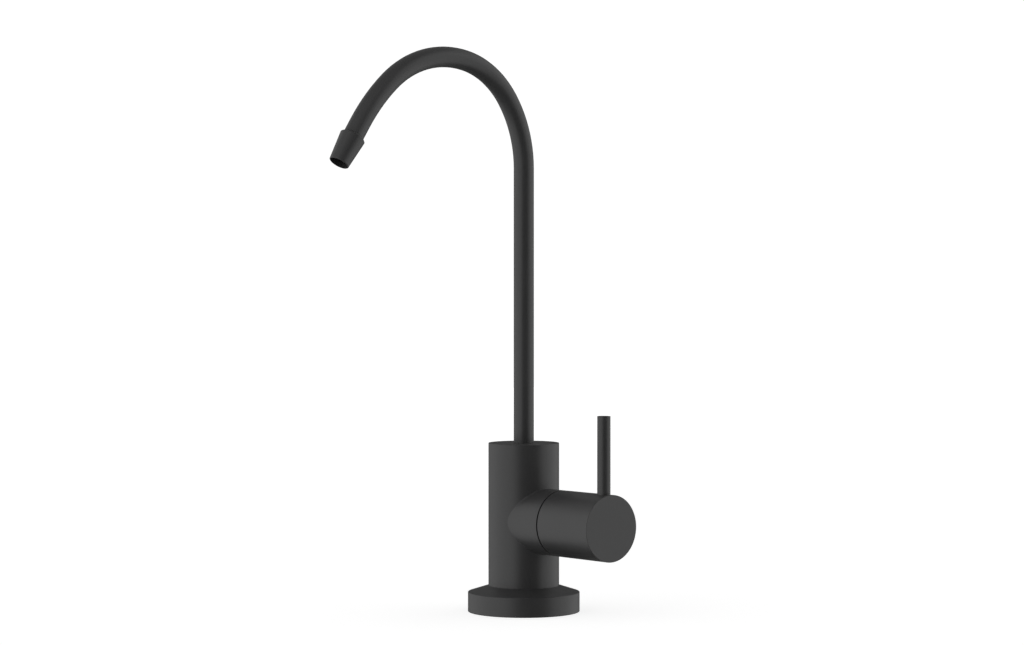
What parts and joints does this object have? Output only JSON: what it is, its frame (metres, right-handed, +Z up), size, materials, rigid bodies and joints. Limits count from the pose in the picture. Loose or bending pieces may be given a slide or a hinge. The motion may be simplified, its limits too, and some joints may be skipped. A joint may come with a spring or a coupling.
{
  "type": "drinking water faucet",
  "caption": "Slim gooseneck drinking water faucet with a round base, upright body, side hub with a lever for a quarter turn, swivel spout and threaded shank.",
  "frame": {"origin": "centre of the base's underside, on the worktop's surface", "axes": "+Z up along the body and the spout's swivel axis, +X out along the handle's axis, -Y towards the user, where the spout reaches at rest"},
  "size_m": [0.0866, 0.1365, 0.3422],
  "materials": {
    "black_coating": "matte black powder coat on brass and steel, finely grained",
    "brass": "turned",
    "steel": "plain stainless",
    "rubber": "matt",
    "ceramic": "lapped",
    "white_plastic": "moulded acetal",
    "grey_plastic": "moulded acetal"
  },
  "bodies": {
    "body": {"base_flange": "black_coating", "valve_body": "black_coating", "base_gasket": "rubber", "shank_o_ring": "rubber", "under_deck_rubber_washer": "rubber", "connector_washer": "rubber", "inlet_o_ring": "rubber", "cartridge_seal": "rubber", "housing_o_ring": "rubber", "threaded_shank": "brass", "mounting_nut": "brass", "cartridge_housing": "brass", "under_deck_flat_washer": "steel", "lock_washer": "steel", "spout_retaining_clip": "steel", "fixed_ceramic_disc": "ceramic", "inlet_connector": "white_plastic"},
    "handle": {"handle_hub": "black_coating", "lever_rod": "black_coating", "hub_grub_screw": "steel", "cartridge_spindle": "brass", "moving_ceramic_disc": "ceramic", "thrust_washer": "white_plastic", "spindle_o_ring": "rubber", "spindle_snap_ring": "steel"},
    "spout": {"spout_tube": "black_coating", "spout_nozzle": "black_coating", "spout_adapter": "brass", "spout_o_rings": "rubber", "spout_bearing": "white_plastic"},
    "collet": {"inlet_collet": "grey_plastic"}
  },
  "joints": [
    {"name": "spout_swivel", "type": "hinge", "parent": "body", "child": "spout", "pos_m": [0, 0, 0.0784], "axis": [0, 0, 1], "continuous": true},
    {"name": "handle_turn", "type": "hinge", "parent": "body", "child": "handle", "pos_m": [0.0437, 0, 0.0427], "axis": [1, 0, 0], "range_deg": [0, 90]},
    {"name": "collet_release", "type": "slide", "parent": "body", "child": "collet", "axis": [0, 0, 1], "range_m": [0, 0.0015]}
  ]
}
